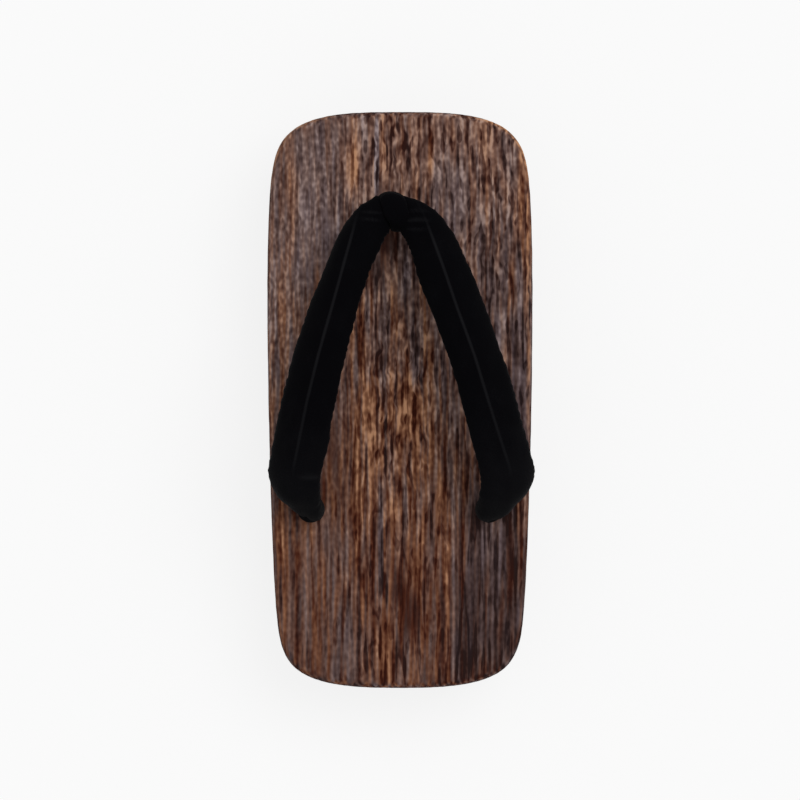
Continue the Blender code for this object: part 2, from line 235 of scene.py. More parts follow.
def brushed_grain(kind):
    """The grain's node group, for a shader or for geometry nodes, so that both agree.

    Place is in metres, with the grain along Y. Wavy is 1 where the grain swirls, and Long is 1
    where its lines run on unbroken. Height is 0 in the scoured lines and 1 on the hard ones,
    Hue is the warmth of whole streaks, and Grit is the fine roughness left by the brush. Rings
    goes from -1 to 1 across each year's growth.
    """
    tree = bpy.data.node_groups.new("brushed_grain", kind)
    add_sockets(tree, "INPUT", "Vector", "Place")
    add_sockets(tree, "INPUT", "Float", "Wavy", "Long")
    add_sockets(tree, "OUTPUT", "Float", "Height", "Hue", "Grit", "Rings")
    given = tree.nodes.new("NodeGroupInput")
    place, wavy, unbroken = (given.outputs[name] for name in ("Place", "Wavy", "Long"))
    # The lasting lines run nearly straight, while the short strokes swirl round the knots.
    drift = scaled(tree, streaks(tree, place, (40, 140, 50)), 3 * MM)
    swirl = streaks(tree, place, (10, 12, 20), 1.0, 3.1)
    even = shifted(tree, place, scaled(tree, swirl, 0.5 * MM, drift))
    swirl = scaled(tree, swirl, mixed(tree, wavy, 0.5 * MM, 3.2 * MM))
    broken = scaled(tree, unbroken, -0.25, 0.25)
    swing = mixed(tree, maths(tree, "MAXIMUM", wavy, broken), 0.1 * MM, 1.5 * MM)
    shake = scaled(tree, streaks(tree, place, (3.8, 4.2, 6), 1.0, 7.7), swing)
    bent = shifted(tree, place, maths(tree, "ADD", drift, maths(tree, "ADD", swirl, shake)))
    ring = vector_maths(tree, "DOT_PRODUCT", even, RING_SLOPE, output="Value")
    ring = scaled(tree, streaks(tree, place, (10, 150, 20), 0.0, 71.3), 6 * MM, ring)
    rings = maths(tree, "SINE", scaled(tree, ring, 2 * math.pi / RING_STEP))
    faded = streaks(tree, even, (5, 20, 6), 0.0, 91.0)
    faded = ramp(tree, faded, -0.12, 0.10, mixed(tree, unbroken, 0.2, 0.6), 1.0)
    rings = scaled(tree, rings, faded)
    cracks = streaks(tree, even, (1.6, 20, 3), 0.0, 49.3)
    nicks = streaks(tree, bent, (1.7, 6.5, 3), 0.0, 43.1)
    layers = (
        # a layer, and how much it counts where the lines are broken, run on, and swirl
        (streaks(tree, even, (4, 110, 4), 0.0, 11.3), 0.40, 0.62, 0.12),
        (streaks(tree, even, (1.9, 90, 3), 0.0, 27.9), 0.40, 0.70, 0.62),
        (streaks(tree, bent, (2, 12, 3), 0.0, 17.9), 0.85, 0.40, 0.66),
        (streaks(tree, bent, (1.9, 6, 3), 0.0, 23.1), 0.30, 0.15, 0.66),
        (streaks(tree, bent, (1.2, 5.5, 2.5), 0.0, 61.7), 0.00, 0.00, 0.60),
        (rings, 0.10, 0.18, 0.00),
        (ramp(tree, nicks, -0.22, -0.08, 1.0, 0.0), -0.32, -0.18, -0.34),
        (ramp(tree, cracks, -0.20, -0.08, 1.0, 0.0), -0.34, -0.32, -0.30),
    )
    height = mixed(tree, wavy, mixed(tree, unbroken, 0.61, 0.57), 0.54)
    for layer, broken, whole, swirling in layers:
        share = mixed(tree, wavy, mixed(tree, unbroken, broken, whole), swirling)
        height = scaled(tree, layer, share, height)
    height = maths(tree, "SMOOTH_MAX", height, 0.0, 0.2)
    height = maths(tree, "SMOOTH_MIN", height, 1.0, 0.3)
    hue = streaks(tree, even, (3.2, 60, 4), 1.0, 31.7)
    narrow = streaks(tree, bent, (1.3, 20, 2), 0.0, 37.7)
    hue = scaled(tree, narrow, 0.7, hue)
    fibre = streaks(tree, bent, (0.45, 4, 1.2), 1.0, 41.3)
    grit = streaks(tree, bent, (1.4, 2.4, 2), 0.0, 53.9)
    grit = scaled(tree, fibre, 0.15, grit)
    put(tree, "NodeGroupOutput", {"Height": height, "Hue": hue, "Grit": grit, "Rings": rings})
    return tree


# Where the grain swirls on the top face: around the toe's knot, right of the strap, and in the
# middle between the strap's arms. Each is a middle and a reach in millimetres.
WAVY_PATCHES = ((-4, 112, 16, 32), (43, 76, 16, 48), (0, 2, 20, 60))

# On the board's sides the lines lie closer together by this much.
SIDE_SQUEEZE = 1.7


def board_grain(tree, place):
    """What the grain's group takes on the footboard: lines run on at the heel's two sides."""
    squeeze, back = (1, 1, SIDE_SQUEEZE), (0, 0, TOP * (1 - SIDE_SQUEEZE))
    squeezed = vector_maths(tree, "MULTIPLY_ADD", place, squeeze, back)
    wavy = 0.0
    for patch in WAVY_PATCHES:
        wavy = maths(tree, "MAXIMUM", soft_patch(tree, place, *patch), wavy)
    spot = split(tree, place)
    to_heel = ramp(tree, spot["Y"], -60 * MM, 20 * MM, 1.0, 0.0)
    to_side = ramp(tree, maths(tree, "ABSOLUTE", spot["X"]), 6 * MM, 22 * MM, 0.35, 1.0)
    unbroken = scaled(tree, to_heel, to_side)
    return {"Place": squeezed, "Wavy": wavy, "Long": unbroken}


def carve(obj, depth, grain_inputs):
    """Cuts the grain's relief into the piece along its stored outward directions."""
    tree = bpy.data.node_groups.new("carved_relief", "GeometryNodeTree")
    for in_out in ("INPUT", "OUTPUT"):
        add_sockets(tree, in_out, "Geometry", "Geometry")
    mesh = tree.nodes.new("NodeGroupInput").outputs[0]
    place = tree.nodes.new("GeometryNodeInputPosition").outputs[0]
    store = {"Geometry": mesh, "Name": "grain_place", "Value": place}
    kept = put(tree, "GeometryNodeStoreNamedAttribute", store, data_type="FLOAT_VECTOR")
    grain = put(tree, "GeometryNodeGroup", grain_inputs(tree, place), node_tree=relief_grain)
    name = {"Name": "outward"}
    outward = put(tree, "GeometryNodeInputNamedAttribute", name, data_type="FLOAT_VECTOR")
    cut = scaled(tree, maths(tree, "SUBTRACT", grain.outputs["Height"], 1.0), depth)
    offset = vector_maths(tree, "MULTIPLY", outward.outputs[0], cut)
    moved = {"Geometry": kept.outputs[0], "Offset": offset}
    moved = put(tree, "GeometryNodeSetPosition", moved).outputs[0]
    put(tree, "NodeGroupOutput", {0: moved})
    obj.modifiers.new("relief", "NODES").node_group = tree
    finish_mesh(obj)


def sawn_outline():
    """The board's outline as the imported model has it, anticlockwise from the right."""
    bm = merged_copy("board")
    rim_z = board_high.z - TOP_ROUND
    ring = [v.co.xy.copy() for v in bm.verts if abs(v.co.z - rim_z) < ON_RIM]
    bm.free()
    ring.sort(key=lambda point: math.atan2(point.y, point.x))
    return np.array([tuple(point) for point in ring])


def thickness(y):
    """The board's thickness at this Y: less under the toe's and the heel's tip."""
    for lift in LIFTS.values():
        along = (y - lift["from_y"]) / (lift["tip_y"] - lift["from_y"])
        if along > 0:
            return THICK - lift["rise"] * min(along, 1) ** LIFT_CURVE
    return THICK


outline = sawn_outline()
runs = np.roll(outline, -1, axis=0) - outline
run_lengths = np.linalg.norm(runs, axis=1)
inward = np.stack([-runs[:, 1], runs[:, 0]], axis=1) / run_lengths[:, None]
corner_inward = inward + np.roll(inward, 1, axis=0)
corner_inward /= np.linalg.norm(corner_inward, axis=1)[:, None]


def depths_inside(points):
    """How far each point lies inside each side of the outline."""
    return points @ inward.T - (outline * inward).sum(axis=1)


def outward_at(points):
    """The direction out of the outline next to each point, turned smoothly past its corners."""
    side = depths_inside(points).argmin(axis=1)
    share = ((points - outline[side]) * runs[side]).sum(axis=1) / run_lengths[side] ** 2
    share = np.clip(share, 0, 1)[:, None]
    turned = corner_inward[side] * (1 - share) + np.roll(corner_inward, -1, axis=0)[side] * share
    return -turned / np.linalg.norm(turned, axis=1)[:, None]


# The top is a grid cut to the outline. Its rim is then drawn round, down the sides and in below.
bm = bmesh.new()
size = board_high - board_low
bmesh.ops.create_grid(
    bm,
    x_segments=math.ceil(size.x / GRAIN_COLUMN),
    y_segments=math.ceil(size.y / GRAIN_ROW),
    size=0.5,
    matrix=Matrix.Translation((0, 0, TOP)) @ Matrix.Diagonal((size.x, size.y, 1, 1)),
)
bm.faces.ensure_lookup_table()
middles = np.array([f.calc_center_median().xy for f in bm.faces])
depths = depths_inside(middles).min(axis=1) - TOP_ROUND
near = 1.5 * GRAIN_ROW
outside = [bm.faces[i] for i in np.nonzero(depths < -near)[0]]
band = [bm.faces[i] for i in np.nonzero(abs(depths) <= near)[0]]
band = each_once(e for f in band for e in [f, *f.edges, *f.verts])
bmesh.ops.delete(bm, geom=outside, context="FACES")
for start, into in zip(outline, inward):
    edge = Vector((*(start + into * TOP_ROUND), TOP))
    band = cut_across(bm, band, edge, (-into[0], -into[1], 0), clear_outer=True)
rim_verts = [v for v in bm.verts if v.is_boundary]
bmesh.ops.remove_doubles(bm, verts=rim_verts, dist=SAME_RIM_POINT)

foot = bm.verts.layers.float_vector.new("foot")
side_way = bm.verts.layers.float_vector.new("side_way")
outward = bm.verts.layers.float_vector.new("outward")
rim = bm.verts.layers.float.new("rim")
ring = [v for v in bm.verts if v.is_boundary]
depths = depths_inside(np.array([v.co.xy for v in bm.verts])).min(axis=1) - TOP_ROUND
for v, depth in zip(bm.verts, depths):
    v[outward] = (0, 0, 1 + (RIM_RELIEF - 1) * max(0.0, 1 - depth / RIM_ON_TOP) ** 2)
for v, out in zip(ring, outward_at(np.array([v.co.xy for v in ring]))):
    v[foot] = v.co
    v[side_way] = (*out, 0)
rows = []
for turn in np.linspace(0, math.pi / 2, ROUND_STEPS + 1)[1:]:
    rows.append((TOP_ROUND * math.sin(turn), TOP_ROUND * (1 - math.cos(turn)), 0, 0, turn))
for share in np.linspace(0, 1, SIDE_ROWS + 1)[1:]:
    rows.append((TOP_ROUND, TOP_ROUND, share, 0, math.pi / 2))
for turn in np.linspace(0, math.pi / 2, UNDER_STEPS + 1)[1:]:
    out = TOP_ROUND - UNDER_ROUND * (1 - math.cos(turn))
    rows.append((out, TOP_ROUND, 1, UNDER_ROUND * math.sin(turn), math.pi / 2 + turn))
edges = [e for e in bm.edges if e.is_boundary]
for out, drop, share, under, turn in rows:
    on_rim = math.sin(min(turn, math.pi / 2))
    edges, border = drawn_out(bm, edges)
    for v in border:
        place = v[foot] + v[side_way] * out
        side = thickness(place.y) - TOP_ROUND - UNDER_ROUND
        v.co = (place.x, place.y, TOP - drop - share * side - under)
        side_relief = SIDE_RELIEF + (TIP_RELIEF - SIDE_RELIEF) * abs(v[side_way].y)
        fade = RIM_RELIEF + (side_relief - RIM_RELIEF) * on_rim
        fade *= max(0.0, 1 - 2 * under / UNDER_ROUND)
        v[outward] = (v[side_way] * math.sin(turn) + Vector((0, 0, math.cos(turn)))) * fade
        v[rim] = on_rim
under_face = bmesh.ops.holes_fill(bm, edges=edges)["faces"]
under_parts = each_once(e for f in under_face for e in [f, *f.edges, *f.verts])
for lift in LIFTS.values():
    count = math.ceil(abs(lift["tip_y"] - lift["from_y"]) / LIFT_STEP)
    for y in np.linspace(lift["from_y"], lift["tip_y"], count + 1)[:-1]:
        under_parts = cut_across(bm, under_parts, (0, y, 0), (0, 1, 0))
bmesh.ops.recalc_face_normals(bm, faces=bm.faces)
for name in ("foot", "side_way"):
    bm.verts.layers.float_vector.remove(bm.verts.layers.float_vector[name])
board = new_piece("footboard", bm, "board_wood", "board")
relief_grain = brushed_grain("GeometryNodeTree")
carve(board, RELIEF, board_grain)

# The cord holes, drilled straight through, and the two housings sawn across the underside.
FRONT_HOLE = Vector((-2, 82.8)) * MM
REAR_HOLE_OUT = 39.5 * MM
REAR_HOLE_Y = -48.2 * MM
HOLE_RADIUS = 6 * MM
HOLE_SIDES = 48
TOOTH_NAMES = ("front_tooth", "rear_tooth")
HOUSING_PLAY = 0.3 * MM
SAW_OVERRUN = 10 * MM
SHARP_EDGE = math.radians(75)


def spread(mesh, name, width=1):
    """A mesh attribute as an array with this many columns."""
    kind = "vector" if width == 3 else "value"
    values = np.empty(len(mesh.vertices) * width, np.float32)
    mesh.attributes[name].data.foreach_get(kind, values)
    return values.reshape(-1, width) if width > 1 else values


def cut_away(obj, cutter_bm):
    """Takes a closed shape out of the piece."""
    cutter = shaped("cutter", cutter_bm)
    cut = obj.modifiers.new("cut", "BOOLEAN")
    cut.operation = "DIFFERENCE"
    cut.solver = "MANIFOLD"
    cut.object = cutter
    finish_mesh(obj)
    bpy.data.objects.remove(cutter)


bm = bmesh.new()
for x, y in (FRONT_HOLE, (-REAR_HOLE_OUT, REAR_HOLE_Y), (REAR_HOLE_OUT, REAR_HOLE_Y)):
    bmesh.ops.create_cone(
        bm,
        cap_ends=True,
        segments=HOLE_SIDES,
        radius1=HOLE_RADIUS,
        radius2=HOLE_RADIUS,
        depth=2 * THICK,
        matrix=Matrix.Translation((x, y, TOP - THICK / 2)),
    )
for name in TOOTH_NAMES:
    low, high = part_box(name)
    under = TOP - THICK
    reach = Vector((2 * board_high.x, high.y - low.y, 2 * (high.z - under)))
    reach += Vector((SAW_OVERRUN, 2 * HOUSING_PLAY, 2 * HOUSING_PLAY))
    place = Matrix.Translation((0, (low.y + high.y) / 2, under))
    bmesh.ops.create_cube(bm, size=1, matrix=place @ Matrix.Diagonal((*reach, 1)))
cut_away(board, bm)

# The new points along the cuts take their own place, and count as rim below the middle.
mesh = board.data
places, grain_places = spread(mesh, "position", 3), spread(mesh, "grain_place", 3)
rim_shares = spread(mesh, "rim")
is_new = ~grain_places.any(axis=1)
grain_places[is_new] = places[is_new]
rim_shares[is_new] = places[is_new, 2] < TOP - THICK / 2
mesh.attributes["grain_place"].data.foreach_set("vector", grain_places.ravel())
mesh.attributes["rim"].data.foreach_set("value", rim_shares)
mesh.shade_smooth()
mesh.set_sharp_from_angle(angle=SHARP_EDGE)


# The wood's finish: charred brown-black in its lines, and paler brown on the ridges.
def picked(red, green, blue):
    """A colour given 0 to 255 as a screen shows it, as the shader's own light values."""
    shares = [value / 255 for value in (red, green, blue)]
    return (*[s / 12.92 if s < 0.04 else ((s + 0.055) / 1.055) ** 2.4 for s in shares], 1)


def tinted(tree, share, near, far):
    """A colour between two others."""
    return put(tree, "ShaderNodeMix", {0: share, 6: near, 7: far}, data_type="RGBA").outputs[2]


def stored(tree, name, output="Fac"):
    """What the mesh keeps under this name."""
    return put(tree, "ShaderNodeAttribute", attribute_name=name).outputs[output]


def new_material(name, obj):
    made = bpy.data.materials.new(name)
    made.use_nodes = True
    obj.data.materials.clear()
    obj.data.materials.append(made)
    return made.node_tree, made.node_tree.nodes["Principled BSDF"]


# The char's colours from its darkest to its lightest tone, 0 to 255 as a screen shows them.
CHAR_TONES = (0.0, 0.2, 0.44, 0.7, 1.0)
GREY_CHAR = ((33, 20, 18), (52, 36, 33), (76, 58, 54), (102, 82, 77), (146, 124, 116))
GOLD_CHAR = ((43, 14, 6), (66, 31, 18), (89, 54, 37), (118, 79, 57), (165, 122, 92))
COOL_CHAR = ((32, 21, 22), (50, 37, 37), (72, 58, 59), (97, 82, 83), (141, 125, 125))
BARE_WOOD = picked(172, 124, 88)
BARE_WOOD_LINE = picked(112, 70, 46)
COOLING = -1.6
# How light the top is at the heel and the toe, and how warm, with how much variety there.
HEEL_LIGHT, TOE_LIGHT = 0.755, 1.145
WARMTH = 0.3
HEEL_VARIETY, TOE_VARIETY = 2.6, 1.6
# How strongly its lines show: on the left, elsewhere, and how much more at the heel, behind on
# the right, and where the grain swirls.
LEFT_CONTRAST, CONTRAST = 0.41, 0.92
HEEL_CONTRAST, RIGHT_CONTRAST = 0.42, 0.22
SWIRL_CONTRASTS = ((WAVY_PATCHES[0], 0.28), (WAVY_PATCHES[-1], 0.18))
# How light the sides below the rim are: thicker char there, and painted shade.
SIDE_CHAR_AND_SHADE_LIGHT = 0.62
GROOVE_ROUGHNESS, RIDGE_ROUGHNESS = 0.9, 0.62
DRY_WOOD_SHINE = 0.06
# Marks of the torch and the brush on the top face, and painted shadows of the strap on the wood
# beside its left arm, in millimetres.
BURN_AND_SHADOW_MARKS = (
    # middle, reach, how much lighter, how much warmer
    (-2, -50, 36, 110, 0, 0.4),
    (-42, -70, 26, 70, 0, 0.25),
    (-53, 20, 10, 75, 0.26, 0),
    (-34, 92, 26, 50, 0.15, -0.38),
    (-48.2, 86, 4.5, 36, 0.03, 0.45),
    (-42.6, 72, 3.6, 48, 0, -0.45),
    (-34, 66, 7.5, 26, -0.12, -0.3),
    (-22.5, 104, 7, 24, 0.03, 0.35),
    (48, 30, 20, 70, -0.2, -0.45),
    (1, 106, 18, 30, -0.07, 0.22),
    (0, -12, 32, 56, 0.17, 0.1),
    (0, -90, 24, 50, -0.09, 0),
    (38, 98, 24, 40, 0.08, 0),
    (-26.5, -30, 6, 30, 0, -0.4),
    (54.5, 85, 6, 34, 0, 0.6),
    (44, -85, 28, 65, -0.22, -0.4),
    (5, -94, 6, 16, -0.45, 0),
    (-0.4, -83, 5, 12, -0.4, 0),
    # painted shadows of the strap: at the tip between its arms, and along its left arm's inner side
    (-5, 70, 6, 8.5, -0.78, -0.2),
    (-10.5, 58, 5, 13, -0.42, -0.1),
    # painted shadows beside the left arm's inner side, toward the heel
    (-30, -18, 3.4, 15, -0.35, 0.1),
    (-34.2, -40, 3, 10, -0.5, 0.1),
    (-18.6, -50, 2.6, 40, 0.16, 0.7),
    (20.5, -72, 2.8, 45, 0.14, 0.6),
    (-7.5, -108, 6, 24, 0.12, 0.5),
    (4, -4, 11, 18, 0.02, 0.55),
    (-14, -8, 3.6, 22, 0.04, 0.6),
    (-19.2, 108, 1.6, 18, 0.08, 0.6),
    (-20.9, 103, 1.1, 12, -0.45, 0.4),
    (-50.7, 94, 1, 14, -0.35, 0.4),
    (13.7, 107, 1.8, 18, 0, 0.8),
    (-53, -60, 4, 22, 0.14, 0.6),
    (-8.4, -66, 1.6, 48, 0.1, -1.2),
    (-10.3, 108, 1.5, 26, 0.12, -1.5),
    (-8.7, 104, 1.1, 22, -0.45, 0.2),
    (23, 84, 10, 28, -0.06, -0.6),
    (1, 58, 8, 20, 0, -0.5),
)

grain_group = brushed_grain("ShaderNodeTree")


def grain_outputs(tree, inputs):
    """The grain's height, hue, grit and rings in a material."""
    grain = put(tree, "ShaderNodeGroup", inputs, node_tree=grain_group)
    return [grain.outputs[name] for name in ("Height", "Hue", "Grit", "Rings")]


def char_scale(tree, tone, colours):
    """The colour that one of the char's scales has at this tone."""
    made = put(tree, "ShaderNodeValToRGB", {0: tone})
    stops = made.color_ramp.elements
    while len(stops) < len(colours):
        stops.new(0.5)
    for stop, at, colour in zip(stops, CHAR_TONES, colours):
        stop.position = at
        stop.color = picked(*colour)
    return made.outputs[0]


def charred(tree, tone, warmth):
    """The wood's colour: grey, and gold or bluish where it is warm or cold."""
    scales = (GREY_CHAR, GOLD_CHAR, COOL_CHAR)
    grey, gold, cool = (char_scale(tree, tone, colours) for colours in scales)
    shares = (warmth, scaled(tree, warmth, COOLING))
    warm, cold = (put(tree, "ShaderNodeClamp", {"Value": share}).outputs[0] for share in shares)
    return tinted(tree, cold, tinted(tree, warm, grey, gold), cool)


def bare_wood(tree, height, grit):
    """The wood where the char is rubbed off, still darker in its lines."""
    shade = scaled(tree, grit, 0.9, height)
    return tinted(tree, ramp(tree, shade, 0.15, 0.80), BARE_WOOD_LINE, BARE_WOOD)


def finish(tree, shader, colour, roughness, shine, height, strength, depth):
    """Gives the surface its colour, roughness and shine, and this fine relief."""
    bump = {"Height": height, "Strength": strength, "Distance": depth}
    looks = {
        "Base Color": colour,
        "Roughness": roughness,
        "Specular IOR Level": shine,
        "Normal": put(tree, "ShaderNodeBump", bump).outputs[0],
    }
    fill_inputs(tree, shader, looks)


def finish_wood(tree, shader, colour, height, grit):
    """Dry wood: rougher in its scoured lines, with the brush's fine grit as a bump."""
    rough = scaled(tree, grit, 0.4, height)
    roughness = ramp(tree, height, 0.0, 1.0, GROOVE_ROUGHNESS, RIDGE_ROUGHNESS)
    finish(tree, shader, colour, roughness, DRY_WOOD_SHINE, rough, 0.5, 0.4 * MM)


tree, shader = new_material("charred_paulownia", board)
place = stored(tree, "grain_place", "Vector")
height, hue, grit = grain_outputs(tree, board_grain(tree, place))[:3]
spot = split(tree, place)
light = ramp(tree, spot["Y"], -110 * MM, 60 * MM, HEEL_LIGHT, TOE_LIGHT)
variety = ramp(tree, spot["Y"], 40 * MM, 95 * MM, HEEL_VARIETY, TOE_VARIETY)
warmth = scaled(tree, hue, variety, WARMTH)
# The marks lighten, darken and warm the top. The painted shadows among them darken it.
for *patch, lighter, warmer in BURN_AND_SHADOW_MARKS:
    mark = soft_patch(tree, place, *patch)
    light = scaled(tree, mark, lighter, light)
    warmth = scaled(tree, mark, warmer, warmth)
contrast = ramp(tree, spot["X"], -32 * MM, -14 * MM, LEFT_CONTRAST, CONTRAST)
at_heel = ramp(tree, spot["Y"], -70 * MM, -20 * MM, HEEL_CONTRAST, 0.0)
behind = ramp(tree, spot["Y"], 30 * MM, 70 * MM, RIGHT_CONTRAST, 0.0)
behind_right = ramp(tree, spot["X"], 20 * MM, 40 * MM, 0.0, behind)
for more in (at_heel, behind_right):
    contrast = maths(tree, "ADD", contrast, more)
for patch, more in SWIRL_CONTRASTS:
    contrast = scaled(tree, soft_patch(tree, place, *patch), more, contrast)
tone = scaled(tree, maths(tree, "SUBTRACT", height, 0.5), contrast, 0.5)
tone = scaled(tree, grit, 0.50, tone)
# Around the rim the char is rubbed off at the toe. Along the right side the rim is painted paler,
# partly wear and partly a painted highlight where it faces the light. Below the rim the sides are
# painted darker: thicker char, and painted shade that keeps the left and heel edges dark.
rim_share = stored(tree, "rim")
rubbed_off = ramp(tree, rim_share, 0.50, 0.95)
for value, low, high, least in (
    (spot["Y"], 84 * MM, 108 * MM, 0.0),
    (spot["X"], -10 * MM, 50 * MM, 0.45),
    (maths(tree, "ABSOLUTE", spot["X"]), 24 * MM, 42 * MM, 0.0),
    (spot["Z"], TOP - 9.5 * MM, TOP - 4 * MM, 0.0),
    (height, 0.10, 0.55, 0.35),
):
    rubbed_off = scaled(tree, rubbed_off, ramp(tree, value, low, high, least, 1.0))
# The right rim's pale band: partly wear, partly a painted highlight where the rim faces the light.
worn_and_lit_rim = ramp(tree, rim_share, 0.60, 0.90, 1.0, 0.0)
for value, low, high in (
    (rim_share, 0.05, 0.45),
    (spot["X"], 46 * MM, 55 * MM),
    (spot["Y"], -60 * MM, 60 * MM),
    (height, 0.20, 1.10),
):
    worn_and_lit_rim = scaled(tree, worn_and_lit_rim, ramp(tree, value, low, high))
# The sides below the rim are painted darker except where rubbed off: thicker char, and painted shade
# that keeps the left and heel edges dark.
thick_char_and_shade = maths(tree, "SUBTRACT", ramp(tree, rim_share, 0.75, 1.0), rubbed_off)
light = scaled(tree, light, ramp(tree, thick_char_and_shade, 0.0, 1.0, 1.0, SIDE_CHAR_AND_SHADE_LIGHT))
colour = charred(tree, scaled(tree, tone, light), warmth)
# Rubbed-off wood and the right rim's painted highlight both take bare wood's colour.
rubbed = maths(tree, "MAXIMUM", rubbed_off, worn_and_lit_rim)
colour = tinted(tree, rubbed, colour, bare_wood(tree, height, grit))
finish_wood(tree, shader, colour, height, grit)

# The two teeth: blocks of the same burnt wood, let into the housings across the underside. Their
# grain runs from side to side, and the edges that they stand on are rubbed paler.
TOOTH_ROW = 0.7 * MM
TOOTH_COLUMN = 2.5 * MM
TOOTH_RELIEF = 0.3 * MM
TOOTH_RING_RADIUS = 22 * MM
TOOTH_GRAIN_SHIFTS = {"front_tooth": 0.31, "rear_tooth": 0.47}
WORN_HEIGHT = 5 * MM
WORN = 0.7
TOOTH_CONTRAST, TOOTH_DARKEST = 0.8, 0.02
END_CONTRAST, END_DARKEST, END_RINGS = 0.35, 0.14, 0.10
TOOTH_WARMTH = 0.5


def tooth_grain(middle_y, shift):
    """What the grain's group takes on a tooth: lines along X, and arcs of rings on its ends."""

    def inputs(tree, place):
        spot = split(tree, place)
        off = maths(tree, "SUBTRACT", spot["Y"], middle_y)
        bent = scaled(tree, scaled(tree, off, off), 0.5 / TOOTH_RING_RADIUS)
        turned = {"X": maths(tree, "ADD", spot["Z"], bent), "Y": spot["X"], "Z": spot["Y"]}
        turned = put(tree, "ShaderNodeCombineXYZ", turned).outputs[0]
        turned = vector_maths(tree, "ADD", turned, (shift, shift, shift))
        return {"Place": turned, "Wavy": 0.0, "Long": 1.0}

    return inputs


def sliced(bm, axis, step):
    """Cuts the whole mesh across this axis at even steps."""
    spots = [v.co[axis] for v in bm.verts]
    across = Vector([float(axis == number) for number in range(3)])
    for at in np.arange(min(spots) + step, max(spots), step):
        cut_across(bm, [*bm.verts, *bm.edges, *bm.faces], across * at, across)


for name in TOOTH_NAMES:
    bm = merged_copy(name)
    bmesh.ops.dissolve_limit(bm, angle_limit=math.radians(1), verts=bm.verts, edges=bm.edges)
    sliced(bm, 0, TOOTH_COLUMN)
    sliced(bm, 1, TOOTH_ROW)
    sliced(bm, 2, TOOTH_ROW)
    outward = bm.verts.layers.float_vector.new("outward")
    bm.normal_update()
    for v in bm.verts:
        v[outward] = v.normal
    tooth = new_piece(name + "_block", bm, "tooth_wood", name)
    low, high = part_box(name)
    grain_here = tooth_grain((low.y + high.y) / 2, TOOTH_GRAIN_SHIFTS[name])
    carve(tooth, TOOTH_RELIEF, grain_here)
    tree, shader = new_material(name + "_paulownia", tooth)
    place = stored(tree, "grain_place", "Vector")
    height, hue, grit, rings = grain_outputs(tree, grain_here(tree, place))
    up = split(tree, place)["Z"]
    tone = scaled(tree, height, TOOTH_CONTRAST, TOOTH_DARKEST)
    tone = scaled(tree, grit, 0.45, tone)
    # On its two ends the rings show as arcs, on darker and closer wood.
    facing = split(tree, stored(tree, "outward", "Vector"))["X"]
    at_end = ramp(tree, maths(tree, "ABSOLUTE", facing), 0.6, 0.9)
    end_tone = scaled(tree, tone, END_CONTRAST, END_DARKEST)
    end_tone = scaled(tree, rings, END_RINGS, end_tone)
    tone = mixed(tree, at_end, tone, end_tone)
    warmth = scaled(tree, hue, 2.8, TOOTH_WARMTH)
    warmth = mixed(tree, at_end, warmth, TOOTH_WARMTH)
    colour = charred(tree, tone, warmth)
    rubbed = scaled(tree, ramp(tree, up, 0, WORN_HEIGHT, WORN, 0), height)
    colour = tinted(tree, rubbed, colour, bare_wood(tree, height, grit))
    finish_wood(tree, shader, colour, height, grit)

# The strap. The real one is a velvet tube over cotton padding, with a soft crest along each arm.
# It is sewn shut underneath, pinched by the toe loop, and gathered into its two rear holes.
STRAP_SIDES = 20
STRAP_LEVELS = 2
# The crest's line from above, in millimetres: its Y, and its X on the left and the right arm.
CREST_LINE = (
    (90, -15.0, 6.0),
    (80, -19.0, 11.0),
    (60, -24.4, 18.2),
    (40, -29.8, 25.0),
    (20, -35.4, 32.2),
    (0, -40.3, 38.3),
    (-30, -46.4, 47.9),
)
CREST_HEIGHT = 0.4 * MM
CREST_HALF = 2.0 * MM
PINCH = 0.80
PINCH_REACH = (4.4 * MM, 6.8 * MM)
UNEVEN = 0.35 * MM
SEAM_DEPTH = 0.7 * MM
SEAM_REACH = 1.8 * MM
PUCKER_STEP = 4.5 * MM
PUCKER_DEPTH = 0.17 * MM
GATHERS = 9
GATHER_DEPTH = 0.6 * MM
GATHER_RISE = 20 * MM
HOLE_FILL = HOLE_RADIUS + 0.1 * MM
COLLAR = 6.3 * MM
COLLAR_RISE = 22 * MM
# The padding that the loop squeezes out on the toe's side: how far, and where it dies away.
SHOULDERS = (
    # left or right of the loop, how far, whole up to here, gone by here
    (-1, 1.3 * MM, 5.5 * MM, 11.5 * MM),
    (1, 1.7 * MM, 6.5 * MM, 13.0 * MM),
)
SHOULDER_START = (1.0 * MM, 3.6 * MM)
LOOP_X = -3.2 * MM
# Where the padding is fuller, or flatter, on one side of an arm, in millimetres.
SWELLS = (
    # arm, the way its side faces in degrees, middle and reach along Y, how much fuller
    (-1, 0, 60, 20, 1.5),
    (-1, 0, 22, 60, 1.1),
    (1, 180, 10, 75, 0.6),
    (-1, 0, -23, 13, 0.8),
    (-1, 180, -37, 14, 1.0),
    (1, 0, -36, 14, 1.9),
    (-1, 240, -53, 10, -1.8),
    (1, 300, -51, 9, -0.4),
    (1, 180, -46, 10, 1.0),
)
# Folds on top where the arms bend, beside the loop and at the left end, in millimetres: middle,
# reach, depth and step.
BEND_FOLDS = (
    (7.5, 78.9, 8.0, 8.5, 0.55, 4.0),
    (-12.5, 80.5, 6.5, 5.5, 0.35, 3.2),
    (-38.7, -33.8, 8.0, 1.8, 0.15, 10.4),
)


def tube_rings(first):
    """A tube's rings of vertices in order, walked along its edges from the first one."""
    rings = [first]
    walked = set(first)
    while rings[-1]:
        reached = each_once(e.other_vert(v) for v in rings[-1] for e in v.link_edges)
        rings.append([v for v in reached if v not in walked])
        walked.update(reached)
    return rings[:-1]


